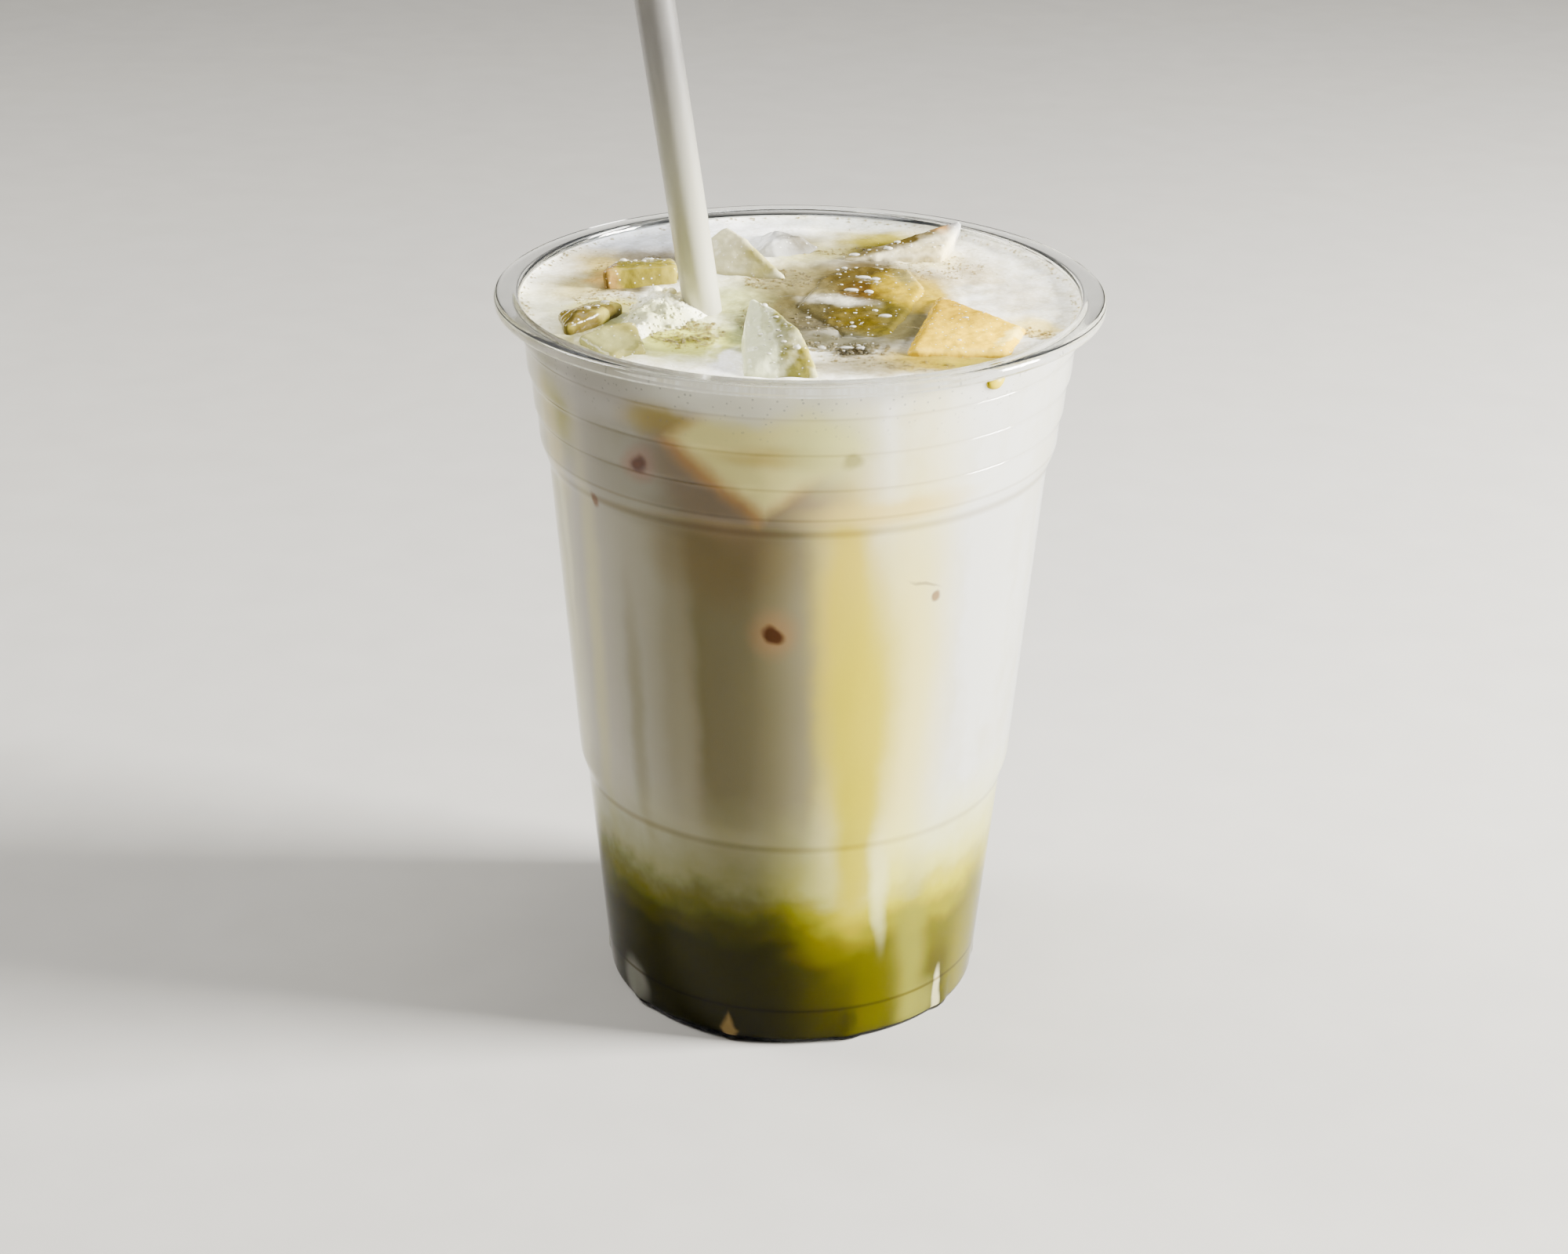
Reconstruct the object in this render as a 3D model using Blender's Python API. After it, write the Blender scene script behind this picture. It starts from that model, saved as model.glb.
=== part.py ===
"""Iced matcha latte in a clear plastic cup, with ice, foam and a straw.

The cup stands on z = 0 with its axis on the Z axis. +X is to the right of someone who
faces the cup, and -Y is towards them. Lengths are written in millimetres and turned
into metres by MM.
"""

import math

import bmesh
import bpy
from mathutils import Matrix, Vector

MM = 0.001
GAP = 0.3

# Cup
RIM_RADIUS = 49.0
CUP_HEIGHT = 121.9
WALL = 0.6
SEGMENTS = 60
FOOT_INNER = 28.4
FOOT_OUTER = 31.1
FLOOR_RADIUS = 26.4
FLOOR_LIFT = 2.9
SKIRT_HEIGHT = 6.5
SKIRT_PANELS = 10
PANEL_DEPTH = 0.5
BEAD_HEIGHT = 2.0
BEAD_ROUND = 0.85
BEAD_INNER = 45.0
BEAD_STEPS = 3

# Outer wall as (height, radius): a crease above the skirt, two steps and three ribs
WALL_OUTLINE = (
    (0.8, 31.95),
    (SKIRT_HEIGHT, 32.15),
    (38.2, 35.2),
    (42.0, 36.4),
    (94.2, 40.75),
    (98.0, 42.2),
    (102.7, 42.5),
    (103.6, 43.0),
    (108.7, 43.4),
    (109.6, 43.95),
    (114.7, 44.35),
    (115.6, 44.9),
    (119.9, 45.5),
)

# Inside of the foot and raised floor as (radius, height), from the wall to the axis
FLOOR_OUTLINE = (
    (31.0, 2 * WALL),
    (28.8, WALL),
    (26.7, FLOOR_LIFT + WALL),
    (0.0, FLOOR_LIFT + WALL),
)

# Drink
DRINK_LEVEL = 120.3
DRINK_EDGE = 44.4
MATCHA_LEVEL = 22.0
MATCHA_WAVE = 1.6

# Underside of the green layer as (radius, height), from the axis to the wall
MATCHA_UNDERSIDE = (
    (0.0, FLOOR_LIFT + WALL + GAP),
    (27.1, FLOOR_LIFT + WALL + GAP),
    (29.3, WALL + GAP),
    (30.6, 2 * WALL + GAP),
)

# Waves round the edge between the layers as (share of the height, number, phase)
LAYER_WAVES = ((1.0, 2, 0.6), (0.5, 5, 2.0))
# Rings of a layer's surface as shares of its radius
LAYER_RINGS = (1.0, 0.7, 0.35)

# Straw
STRAW_RADIUS = 3.0
STRAW_WALL = 0.35
STRAW_LENGTH = 210.0
STRAW_FOOT = Vector((-15.4, -7.2, DRINK_LEVEL))
STRAW_SLOPE = Vector((-0.126, -0.30, 1.0))
STRAW_END_HEIGHT = 9.6
STRAW_SIDES = 20
BORE_OVERSHOOT = 2.0

# Foam heap beside the straw
FOAM_CENTRE = Vector((-21.8, -11.0, 0.0))
FOAM_REACH = (6.2, 12.5)
FOAM_TURN = math.radians(-16)
FOAM_HEIGHT = 3.2
FOAM_EDGE = 119.9
FOAM_BOTTOM = 116.8
FOAM_RINGS = 6
FOAM_SIDES = 26
# Lobes of its outline as (share of the reach, number, phase)
FOAM_LOBES = ((0.10, 3, 0.8), (0.06, 7, 0.0))
FOAM_BUMP = 0.45
FOAM_BUMPS_ACROSS = 1.3
FOAM_BUMPS_ALONG = 1.1
FOAM_FLANK = 2.2

# Ice: the rounding of each piece, then its corners, the first ones above the drink
ICE = {
    "ice_right": (1.3, (
        (22.6, -1.8, 120.1), (34.2, -16.6, 120.1), (31.0, -28.0, 120.0), (17.4, -27.8, 120.1),
        (21.5, -5.0, 106.0), (31.0, -18.0, 107.0), (29.0, -25.0, 107.0), (18.5, -25.0, 106.0),
    )),
    "ice_centre": (1.6, (
        (0.2, -5.0, 118.9), (4.0, 10.0, 119.2), (9.5, 15.6, 119.2), (17.5, 14.6, 119.2),
        (19.4, 4.0, 119.2), (16.6, -8.0, 119.2), (13.0, -20.5, 119.0), (7.0, -20.0, 119.0),
        (2.5, -4.0, 103.0), (8.0, 8.0, 104.0), (15.5, 1.0, 103.0), (9.5, -16.5, 104.0),
    )),
    "ice_back_right": (0.8, (
        (7.5, 20.5, 120.2), (15.0, 21.0, 120.6), (23.2, 20.5, 121.2), (26.6, 30.0, 123.9),
        (22.5, 29.5, 121.4), (12.0, 26.0, 119.6),
        (12.0, 23.0, 110.0), (21.0, 22.0, 109.0), (22.0, 28.0, 110.0),
    )),
    "ice_back_left": (0.9, (
        (-12.4, 19.5, 125.2), (-9.6, 15.5, 124.6), (-3.2, 9.6, 120.2), (-15.0, 13.2, 120.4),
        (-14.8, 17.5, 124.0), (-12.0, 22.0, 119.0),
        (-13.5, 14.5, 110.0), (-6.0, 12.0, 110.0), (-11.5, 20.0, 109.0),
    )),
    "ice_back_dome": (4.0, (
        (-5.0, 24.5, 118.2), (-4.5, 32.5, 118.0), (0.0, 28.0, 118.2),
        (-3.0, 26.0, 112.0), (-1.0, 30.0, 112.0),
    )),
    "ice_front": (0.8, (
        (-7.2, -25.6, 127.2), (-4.0, -29.2, 126.7), (-0.6, -33.8, 125.4), (2.4, -39.8, 120.4),
        (-8.2, -31.0, 122.4), (-7.6, -39.4, 120.2),
        (-7.0, -31.0, 108.0), (-6.5, -37.5, 107.0), (1.0, -37.5, 108.0), (-1.5, -30.5, 109.0),
    )),
    "ice_left_ridge": (0.8, (
        (-35.8, -20.8, 121.4), (-34.2, -17.0, 122.4), (-31.5, -16.4, 122.2), (-28.6, -10.6, 121.6),
        (-31.8, -6.4, 120.6), (-37.2, -12.6, 120.6),
        (-34.0, -17.0, 109.0), (-29.0, -10.0, 108.0), (-34.0, -11.0, 108.0),
    )),
    "ice_left_front": (0.8, (
        (-33.0, -25.6, 121.0), (-29.6, -22.2, 121.6), (-25.8, -20.6, 121.7), (-23.8, -29.6, 120.4),
        (-28.2, -32.0, 120.2),
        (-30.0, -27.0, 109.0), (-26.0, -23.0, 108.0), (-25.0, -29.0, 109.0),
    )),
    "ice_left_back": (0.9, (
        (-31.2, 3.4, 122.7), (-20.6, 6.6, 122.6), (-21.4, 12.6, 121.8), (-29.8, 11.0, 121.8),
        (-29.6, 4.6, 109.0), (-21.6, 7.0, 108.0), (-22.4, 11.5, 109.0), (-28.5, 10.0, 109.0),
    )),
}
ICE_BESIDE_FOAM = ("ice_left_ridge", "ice_left_front", "ice_left_back")

# Colours (linear RGB), roughness and transmission of each material
LOOKS = {
    "clear_plastic": ((0.93, 0.95, 0.94), 0.06, 1.0),
    "milk": ((0.86, 0.83, 0.76), 0.35, 0.0),
    "matcha": ((0.27, 0.26, 0.03), 0.35, 0.0),
    "milk_foam": ((0.84, 0.83, 0.72), 0.5, 0.0),
    "ice": ((0.80, 0.74, 0.50), 0.12, 0.6),
    "straw_plastic": ((0.82, 0.80, 0.78), 0.3, 0.3),
}
SHARP_EDGE = math.radians(30)


def clear_scene():
    for old in list(bpy.data.objects):
        bpy.data.objects.remove(old, do_unlink=True)


def make_material(name):
    colour, roughness, transmission = LOOKS[name]
    material = bpy.data.materials.new(name)
    material.use_nodes = True
    shader = material.node_tree.nodes["Principled BSDF"]
    shader.inputs["Base Color"].default_value = (*colour, 1.0)
    shader.inputs["Roughness"].default_value = roughness
    shader.inputs["Metallic"].default_value = 0.0
    shader.inputs["Transmission Weight"].default_value = transmission
    return material


def add_object(name, bm, material=None):
    """The finished bmesh as an object of this name, in metres."""
    bmesh.ops.recalc_face_normals(bm, faces=bm.faces)
    bmesh.ops.scale(bm, vec=(MM, MM, MM), verts=bm.verts)
    mesh = bpy.data.meshes.new(name)
    bm.to_mesh(mesh)
    bm.free()
    obj = bpy.data.objects.new(name, mesh)
    bpy.context.scene.collection.objects.link(obj)
    if material:
        mesh.materials.append(material)
        mesh.shade_smooth()
        mesh.set_sharp_from_angle(angle=SHARP_EDGE)
    return obj


def as_cutter(obj):
    obj.hide_render = True
    obj.display_type = "WIRE"
    return obj


def cut(obj, cutters):
    for cutter in cutters:
        modifier = obj.modifiers.new("cut_" + cutter.name, "BOOLEAN")
        modifier.operation = "DIFFERENCE"
        modifier.solver = "EXACT"
        modifier.object = cutter


def waves(angle, parts):
    """The sum of sine waves round a circle, each given as (height, number, phase)."""
    return sum(height * math.sin(number * angle + phase) for height, number, phase in parts)


def drink_radius(height):
    """Radius of the drink at a height: a gap inside the wall, between the outline's points."""
    for (low, inner), (high, outer) in zip(WALL_OUTLINE, WALL_OUTLINE[1:]):
        if low <= height <= high:
            return inner + (outer - inner) * (height - low) / (high - low) - WALL - GAP


def skirt_inset(segment, height):
    """How far a panel of the skirt lies behind the ribs: deepest at the foot, none at the crease."""
    per_panel = SEGMENTS // SKIRT_PANELS
    on_rib = segment % per_panel == per_panel // 2
    if on_rib or height >= SKIRT_HEIGHT:
        return 0.0
    return PANEL_DEPTH * (1.0 - height / SKIRT_HEIGHT)


def turned(outline):
    """A bmesh turned about Z from (radius, height) points that start and end on the axis.

    Segment 0 faces -Y. Each point may carry a third value, the height of the waves round it.
    """
    bm = bmesh.new()
    rings = []
    for radius, height, *wave in outline:
        if radius == 0:
            rings.append([bm.verts.new((0, 0, height))])
            continue
        ring = []
        for segment in range(SEGMENTS):
            angle = 2 * math.pi * segment / SEGMENTS
            reach = radius - (skirt_inset(segment, height) if radius > FOOT_INNER else 0.0)
            lift = sum(wave) * waves(angle, LAYER_WAVES)
            ring.append(bm.verts.new((reach * math.sin(angle), -reach * math.cos(angle), height + lift)))
        rings.append(ring)
    for lower, upper in zip(rings, rings[1:]):
        for i in range(SEGMENTS):
            j = (i + 1) % SEGMENTS
            if len(lower) == 1:
                bm.faces.new((lower[0], upper[j], upper[i]))
            elif len(upper) == 1:
                bm.faces.new((lower[i], lower[j], upper[0]))
            else:
                bm.faces.new((lower[i], lower[j], upper[j], upper[i]))
    return bm


def arc(centre, start):
    """A quarter turn of the bead's rounding in the (radius, height) plane, from start degrees."""
    points = []
    for k in range(BEAD_STEPS + 1):
        angle = math.radians(start + 90 * k / BEAD_STEPS)
        points.append((centre[0] + BEAD_ROUND * math.cos(angle), centre[1] + BEAD_ROUND * math.sin(angle)))
    return points


def make_cup(material):
    bead_low = CUP_HEIGHT - BEAD_HEIGHT + BEAD_ROUND
    bead_high = CUP_HEIGHT - BEAD_ROUND
    bead_far = RIM_RADIUS - BEAD_ROUND
    bead_near = BEAD_INNER + BEAD_ROUND
    outline = [(0, FLOOR_LIFT), (FLOOR_RADIUS, FLOOR_LIFT), (FOOT_INNER, 0), (FOOT_OUTER, 0)]
    outline += [(radius, height) for height, radius in WALL_OUTLINE]
    outline += arc((bead_far, bead_low), -90)
    outline += arc((bead_far, bead_high), 0)
    outline += arc((bead_near, bead_high), 90)
    outline += [(radius - WALL, height) for height, radius in reversed(WALL_OUTLINE[1:-1])]
    outline += FLOOR_OUTLINE
    return add_object("cup", turned(outline), material)


def layer_top(height):
    """The surface between the layers, from the wall to the axis, its waves fading inwards."""
    radius = drink_radius(height)
    return [(radius * share, height, MATCHA_WAVE * share) for share in LAYER_RINGS] + [(0, height)]


def make_matcha(material, around_straw):
    """The green layer, down into the channel round the raised floor."""
    outline = list(MATCHA_UNDERSIDE)
    outline += [(drink_radius(SKIRT_HEIGHT), SKIRT_HEIGHT)]
    outline += layer_top(MATCHA_LEVEL)
    cut(add_object("matcha", turned(outline), material), [around_straw])


def make_milk(material, cutters):
    """The milk above the green layer, up to the level, cut round the ice, foam and straw."""
    low = MATCHA_LEVEL + GAP
    outline = layer_top(low)[::-1]
    for height, _ in WALL_OUTLINE:
        if low + MATCHA_WAVE < height < DRINK_LEVEL - BEAD_HEIGHT:
            outline.append((drink_radius(height), height))
    outline += [(DRINK_EDGE, DRINK_LEVEL), (0, DRINK_LEVEL)]
    cut(add_object("milk", turned(outline), material), cutters)


def ball_points(radius):
    """Corner points of a small faceted ball round the origin."""
    bm = bmesh.new()
    bmesh.ops.create_icosphere(bm, subdivisions=1, radius=radius)
    points = [vertex.co.copy() for vertex in bm.verts]
    bm.free()
    return points


def rounded_hull(name, rounding, corners, material=None):
    """The convex solid round a ball at each corner."""
    bm = bmesh.new()
    for corner in corners:
        for point in ball_points(rounding):
            bm.verts.new(Vector(corner) + point)
    hull = bmesh.ops.convex_hull(bm, input=list(bm.verts), use_existing_faces=False)
    inner = [item for item in hull["geom_interior"] if isinstance(item, bmesh.types.BMVert)]
    bmesh.ops.delete(bm, geom=inner, context="VERTS")
    return add_object(name, bm, material)


def make_ice(material):
    """Every piece of ice, and the cutters that leave a gap round each one."""
    cutters = {}
    for name, (rounding, corners) in ICE.items():
        rounded_hull(name, rounding, corners, material)
        cutters[name] = as_cutter(rounded_hull("around_" + name, rounding + GAP, corners))
    return cutters


def straw_rod(radius, start, end):
    """A closed rod on the straw's axis, from start to end above its lower end, as a bmesh."""
    lower_end = STRAW_FOOT + STRAW_SLOPE * (STRAW_END_HEIGHT - STRAW_FOOT.z)
    turn = STRAW_SLOPE.to_track_quat("Z", "Y").to_matrix().to_4x4()
    bm = bmesh.new()
    bmesh.ops.create_cone(
        bm,
        cap_ends=True,
        segments=STRAW_SIDES,
        radius1=radius,
        radius2=radius,
        depth=end - start,
        matrix=Matrix.Translation(lower_end) @ turn @ Matrix.Translation((0, 0, (start + end) / 2)),
    )
    return bm


def make_straw(material):
    """The straw, and the cutter that leaves a gap round it."""
    bore = straw_rod(STRAW_RADIUS - STRAW_WALL, -BORE_OVERSHOOT, STRAW_LENGTH + BORE_OVERSHOOT)
    straw = add_object("straw", straw_rod(STRAW_RADIUS, 0, STRAW_LENGTH), material)
    cut(straw, [as_cutter(add_object("straw_bore", bore))])
    return as_cutter(add_object("around_straw", straw_rod(STRAW_RADIUS + GAP, -GAP, STRAW_LENGTH)))


def foam_heap(grow):
    """An uneven heap of bubbles on an oval base, larger by grow on every side, as a bmesh."""
    bm = bmesh.new()
    turn = Matrix.Rotation(FOAM_TURN, 3, "Z")
    rings = [[bm.verts.new(FOAM_CENTRE + Vector((0, 0, FOAM_EDGE + FOAM_HEIGHT + grow)))] * FOAM_SIDES]
    for ring in range(1, FOAM_RINGS + 1):
        share = ring / FOAM_RINGS
        row = []
        for side in range(FOAM_SIDES):
            angle = 2 * math.pi * side / FOAM_SIDES
            uneven = 1.0 + waves(angle, FOAM_LOBES)
            across, along = (share * (reach * uneven + grow) for reach in FOAM_REACH)
            spot = turn @ Vector((across * math.cos(angle), along * math.sin(angle), 0))
            bump = FOAM_BUMP * math.sin(FOAM_BUMPS_ACROSS * spot.x) * math.sin(FOAM_BUMPS_ALONG * spot.y)
            height = FOAM_EDGE + (FOAM_HEIGHT + bump) * (1 - share**FOAM_FLANK) + grow
            row.append(bm.verts.new(FOAM_CENTRE + spot + Vector((0, 0, height))))
        rings.append(row)
    rings.append([bm.verts.new((vertex.co.x, vertex.co.y, FOAM_BOTTOM - grow)) for vertex in rings[-1]])
    for inner, outer in zip(rings, rings[1:]):
        for side in range(FOAM_SIDES):
            after = (side + 1) % FOAM_SIDES
            corners = dict.fromkeys((inner[side], outer[side], outer[after], inner[after]))
            bm.faces.new(list(corners))
    bm.faces.new(list(reversed(rings[-1])))
    return bm


def make_foam(material, cutters):
    """The foam, and the cutter that leaves a gap round it."""
    cut(add_object("foam", foam_heap(0.0), material), cutters)
    return as_cutter(add_object("around_foam", foam_heap(GAP)))


def main():
    clear_scene()
    materials = {name: make_material(name) for name in LOOKS}
    make_cup(materials["clear_plastic"])
    around_straw = make_straw(materials["straw_plastic"])
    around_ice = make_ice(materials["ice"])
    beside_foam = [around_ice[name] for name in ICE_BESIDE_FOAM]
    around_foam = make_foam(materials["milk_foam"], beside_foam + [around_straw])
    make_matcha(materials["matcha"], around_straw)
    make_milk(materials["milk"], list(around_ice.values()) + [around_foam, around_straw])


main()
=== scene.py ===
"""Iced matcha latte in a clear plastic cup: the looks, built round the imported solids.

The solids give the frame. +Z is up along the cup's axis, +X is to the right of someone who
faces the cup, and -Y is towards them. Sizes are in millimetres and angles in degrees, and
each section turns them into metres where it makes its mesh.
"""

import math
import random

import bmesh
import bpy
from mathutils import Matrix, Vector, noise


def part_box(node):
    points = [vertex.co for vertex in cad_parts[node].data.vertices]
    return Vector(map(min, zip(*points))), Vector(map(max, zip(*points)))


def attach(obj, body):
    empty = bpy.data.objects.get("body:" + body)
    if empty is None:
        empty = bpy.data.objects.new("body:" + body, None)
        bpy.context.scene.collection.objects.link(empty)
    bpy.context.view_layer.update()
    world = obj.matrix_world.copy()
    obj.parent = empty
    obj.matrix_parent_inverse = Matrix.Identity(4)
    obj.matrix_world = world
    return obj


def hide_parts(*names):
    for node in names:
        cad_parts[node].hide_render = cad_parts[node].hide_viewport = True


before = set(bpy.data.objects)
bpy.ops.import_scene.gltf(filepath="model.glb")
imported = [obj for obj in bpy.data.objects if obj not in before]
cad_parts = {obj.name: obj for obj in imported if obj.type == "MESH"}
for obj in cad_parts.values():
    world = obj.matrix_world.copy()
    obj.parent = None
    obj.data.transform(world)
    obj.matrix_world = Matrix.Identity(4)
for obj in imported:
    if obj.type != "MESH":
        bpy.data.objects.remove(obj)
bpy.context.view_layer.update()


# The camera looks a little down on the cup from the front. Its lens, place and tilt are
# those that make the rim, the foot and the wall's rings fall where the picture has them.
MM = 0.001
LENS = 69.165
CAMERA_PLACE = Vector((0.0, -464.0, 265.7))
CAMERA_PITCH = 23.66
CAMERA_YAW = -0.24
CAMERA_ROLL = 0.71

camera = bpy.data.objects.new("camera", bpy.data.cameras.new("camera"))
bpy.context.scene.collection.objects.link(camera)
bpy.context.scene.camera = camera
camera.data.lens = LENS
camera.data.sensor_width = 36.0
camera.data.clip_start = 0.01
camera.matrix_world = (
    Matrix.Translation(CAMERA_PLACE * MM)
    @ Matrix.Rotation(math.radians(-CAMERA_YAW), 4, "Z")
    @ Matrix.Rotation(math.radians(90 - CAMERA_PITCH), 4, "X")
    @ Matrix.Rotation(math.radians(CAMERA_ROLL), 4, "Z")
)


# Studio: a pale matt floor, a strong softbox to the right, a weaker one high on the left and
# a faint one overhead, in a dim even surround. All of them are white or nearly so.
FLOOR_SIZE = 14000.0
FLOOR_COLOUR = "#92908C"
FLOOR_GRAIN_COLOUR = "#9A9894"
FLOOR_SINK = 0.05
SURROUND_COLOUR = "#E6E9EE"
SURROUND_STRENGTH = 0.08
MIDDLE_OF_CUP = Vector((0, 0, 70.0))
# name, azimuth from the front, elevation, distance, width, height, watts, colour
SOFTBOXES = (
    ("right", 85, 13, 900, 300, 400, 150.0, "#FFFDF8"),
    ("left", -106, 42, 900, 320, 460, 15.0, "#FFFDF8"),
    ("overhead", -150, 84, 330, 200, 160, 0.9, "#FFFFFF"),
)


def linear(hex_colour):
    """An sRGB hex colour as linear red, green, blue and alpha."""
    parts = [int(hex_colour[i : i + 2], 16) / 255 for i in (1, 3, 5)]
    return tuple(c / 12.92 if c <= 0.04045 else ((c + 0.055) / 1.055) ** 2.4 for c in parts) + (1.0,)


def new_material(name, **sockets):
    """A material with one Principled shader, its sockets named with _ for each space."""
    material = bpy.data.materials.new(name)
    material.use_nodes = True
    shader = material.node_tree.nodes["Principled BSDF"]
    for socket, value in sockets.items():
        shader.inputs[socket.replace("_", " ")].default_value = value
    return material


def add(material, kind, inputs=None, output=0, **settings):
    """Adds a node with its settings and its inputs' values or links, and gives its output."""
    node = material.node_tree.nodes.new("ShaderNode" + kind)
    for name, value in settings.items():
        setattr(node, name, value)
    for socket, value in (inputs or {}).items():
        if isinstance(value, bpy.types.NodeSocket):
            material.node_tree.links.new(value, node.inputs[socket])
        else:
            node.inputs[socket].default_value = value
    return node.outputs[output]


def link(material, socket, value):
    """Links a node's output to one of the Principled shader's sockets."""
    shader = material.node_tree.nodes["Principled BSDF"]
    material.node_tree.links.new(value, shader.inputs[socket])


floor_mesh = bpy.data.meshes.new("floor")
half = FLOOR_SIZE / 2 * MM
floor_corners = [(-half, -half, 0), (half, -half, 0), (half, half, 0), (-half, half, 0)]
floor_mesh.from_pydata(floor_corners, [], [(0, 1, 2, 3)])
floor = bpy.data.objects.new("floor", floor_mesh)
bpy.context.scene.collection.objects.link(floor)
floor.location.z = -FLOOR_SINK * MM
# A painted board is matt, with a fine grain in the paint.
floor_paint = new_material("matt_painted_board", Roughness=0.9, Specular_IOR_Level=0.1)
grain = add(floor_paint, "TexNoise", {"Scale": 900.0, "Detail": 2.0})
link(floor_paint, "Base Color", add(floor_paint, "Mix", {
    0: grain, 6: linear(FLOOR_COLOUR), 7: linear(FLOOR_GRAIN_COLOUR),
}, 2, data_type="RGBA"))
floor.data.materials.append(floor_paint)

for name, azimuth, elevation, distance, width, height, watts, colour in SOFTBOXES:
    softbox = bpy.data.lights.new("softbox_" + name, "AREA")
    softbox.shape = "RECTANGLE"
    softbox.size = width * MM
    softbox.size_y = height * MM
    softbox.energy = watts
    softbox.color = linear(colour)[:3]
    turn = math.radians(azimuth)
    rise = math.radians(elevation)
    away = Vector((math.sin(turn) * math.cos(rise), -math.cos(turn) * math.cos(rise), math.sin(rise)))
    holder = bpy.data.objects.new("softbox_" + name, softbox)
    bpy.context.scene.collection.objects.link(holder)
    holder.location = (MIDDLE_OF_CUP + away * distance) * MM
    holder.rotation_mode = "QUATERNION"
    holder.rotation_quaternion = away.to_track_quat("Z", "Y")

surround = bpy.data.worlds.new("surround")
surround.use_nodes = True
surround.node_tree.nodes["Background"].inputs["Color"].default_value = linear(SURROUND_COLOUR)
surround.node_tree.nodes["Background"].inputs["Strength"].default_value = SURROUND_STRENGTH
bpy.context.scene.world = surround


# Cup: clear PET, pressed from warm sheet into a mould. The sheet is thin, the rim is
# rolled into a solid-looking bead, and two steps and three ribs stiffen the wall.
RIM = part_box("cup")[1].x / MM
CUP_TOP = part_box("cup")[1].z / MM
WALL = 0.6
SEGMENTS = 240
FOOT_INNER = 28.4
FOOT_OUTER = 31.1
FLOOR_RADIUS = 26.4
FLOOR_LIFT = 2.9
SKIRT_HEIGHT = 6.5
SKIRT_PANELS = 10
PANEL_DEPTH = 0.5
WEDGE_HALF_ANGLE = 4.2
BEAD_HEIGHT = 2.0
BEAD_INNER = 45.0
CORNER = 0.9
CORNER_STEPS = 5
# outer wall as (height, radius)
WALL_OUTLINE = (
    (0.8, 31.95),
    (SKIRT_HEIGHT, 32.15),
    (38.2, 35.2),
    (42.0, 36.4),
    (94.2, 40.75),
    (98.0, 42.2),
    (102.7, 42.5),
    (103.6, 43.0),
    (108.7, 43.4),
    (109.6, 43.95),
    (114.7, 44.35),
    (115.6, 44.9),
    (CUP_TOP - BEAD_HEIGHT, 45.5),
)


def eased(points, corner):
    """The outline with each inner corner rounded, as far as its two sides leave room."""
    path = [Vector(point) for point in points]
    smooth = [path[0]]
    for before, here, after in zip(path, path[1:], path[2:]):
        start = here + (before - here) * min(0.5, corner / (before - here).length)
        end = here + (after - here) * min(0.5, corner / (after - here).length)
        for step in range(CORNER_STEPS + 1):
            t = step / CORNER_STEPS
            smooth.append(start * (1 - t) ** 2 + here * 2 * t * (1 - t) + end * t**2)
    return [tuple(point) for point in smooth + [path[-1]]]


def skirt_inset(angle, height):
    """How far the skirt's panels lie behind the wedges between them."""
    if height >= SKIRT_HEIGHT:
        return 0.0
    share = 1.0 - max(height, 0.0) / SKIRT_HEIGHT
    panel = 360 / SKIRT_PANELS
    from_wedge = abs((angle % panel) - panel / 2)
    wedge = WEDGE_HALF_ANGLE * (0.35 + 0.65 * share)
    return PANEL_DEPTH * share * min(1.0, max(0.0, (from_wedge - wedge * 0.6) / (wedge * 0.4)))


def turned(name, outline, relief=None, sharp=None):
    """A body turned about Z from (radius, height) points, with the skirt's panels in it.

    The outline starts and ends on the axis. relief lifts points by their x, y and height.
    """
    points = []
    faces = []
    rings = []
    for radius, height in outline:
        if radius < 1e-6:
            rings.append([len(points)] * SEGMENTS)
            points.append(Vector((0, 0, height)))
            continue
        rings.append(range(len(points), len(points) + SEGMENTS))
        for segment in range(SEGMENTS):
            angle = 360 * segment / SEGMENTS
            reach = radius - (skirt_inset(angle, height) if radius > FOOT_INNER else 0.0)
            turn = math.radians(angle)
            points.append(Vector((reach * math.sin(turn), -reach * math.cos(turn), height)))
    for lower, upper in zip(rings, rings[1:]):
        for i in range(SEGMENTS):
            j = (i + 1) % SEGMENTS
            face = dict.fromkeys((lower[i], lower[j], upper[j], upper[i]))
            faces.append(tuple(face))
    if relief:
        for point in points:
            point.z += relief(point)
    mesh = bpy.data.meshes.new(name)
    mesh.from_pydata([point * MM for point in points], [], faces)
    return finished(name, mesh, sharp)


def finished(name, mesh, sharp=None):
    """The mesh as a smooth piece of this name, facing out, and riding on the one body."""
    bm = bmesh.new()
    bm.from_mesh(mesh)
    bmesh.ops.recalc_face_normals(bm, faces=bm.faces)
    bm.to_mesh(mesh)
    bm.free()
    mesh.shade_smooth()
    if sharp:
        mesh.set_sharp_from_angle(angle=math.radians(sharp))
    piece = bpy.data.objects.new(name, mesh)
    bpy.context.scene.collection.objects.link(piece)
    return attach(piece, "root")


cup_outline = [(0, FLOOR_LIFT), (FLOOR_RADIUS, FLOOR_LIFT), (FOOT_INNER, 0), (FOOT_OUTER, 0)]
cup_outline += [(radius, height) for height, radius in WALL_OUTLINE]
cup_outline += [(RIM, CUP_TOP - BEAD_HEIGHT), (RIM, CUP_TOP), (BEAD_INNER, CUP_TOP)]
cup_outline += [(radius - WALL, height) for height, radius in reversed(WALL_OUTLINE[1:-1])]
cup_outline += [(31.0, 2 * WALL), (28.8, WALL), (26.7, FLOOR_LIFT + WALL), (0, FLOOR_LIFT + WALL)]
cup = turned("clear_cup", eased(cup_outline, CORNER))

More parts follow.
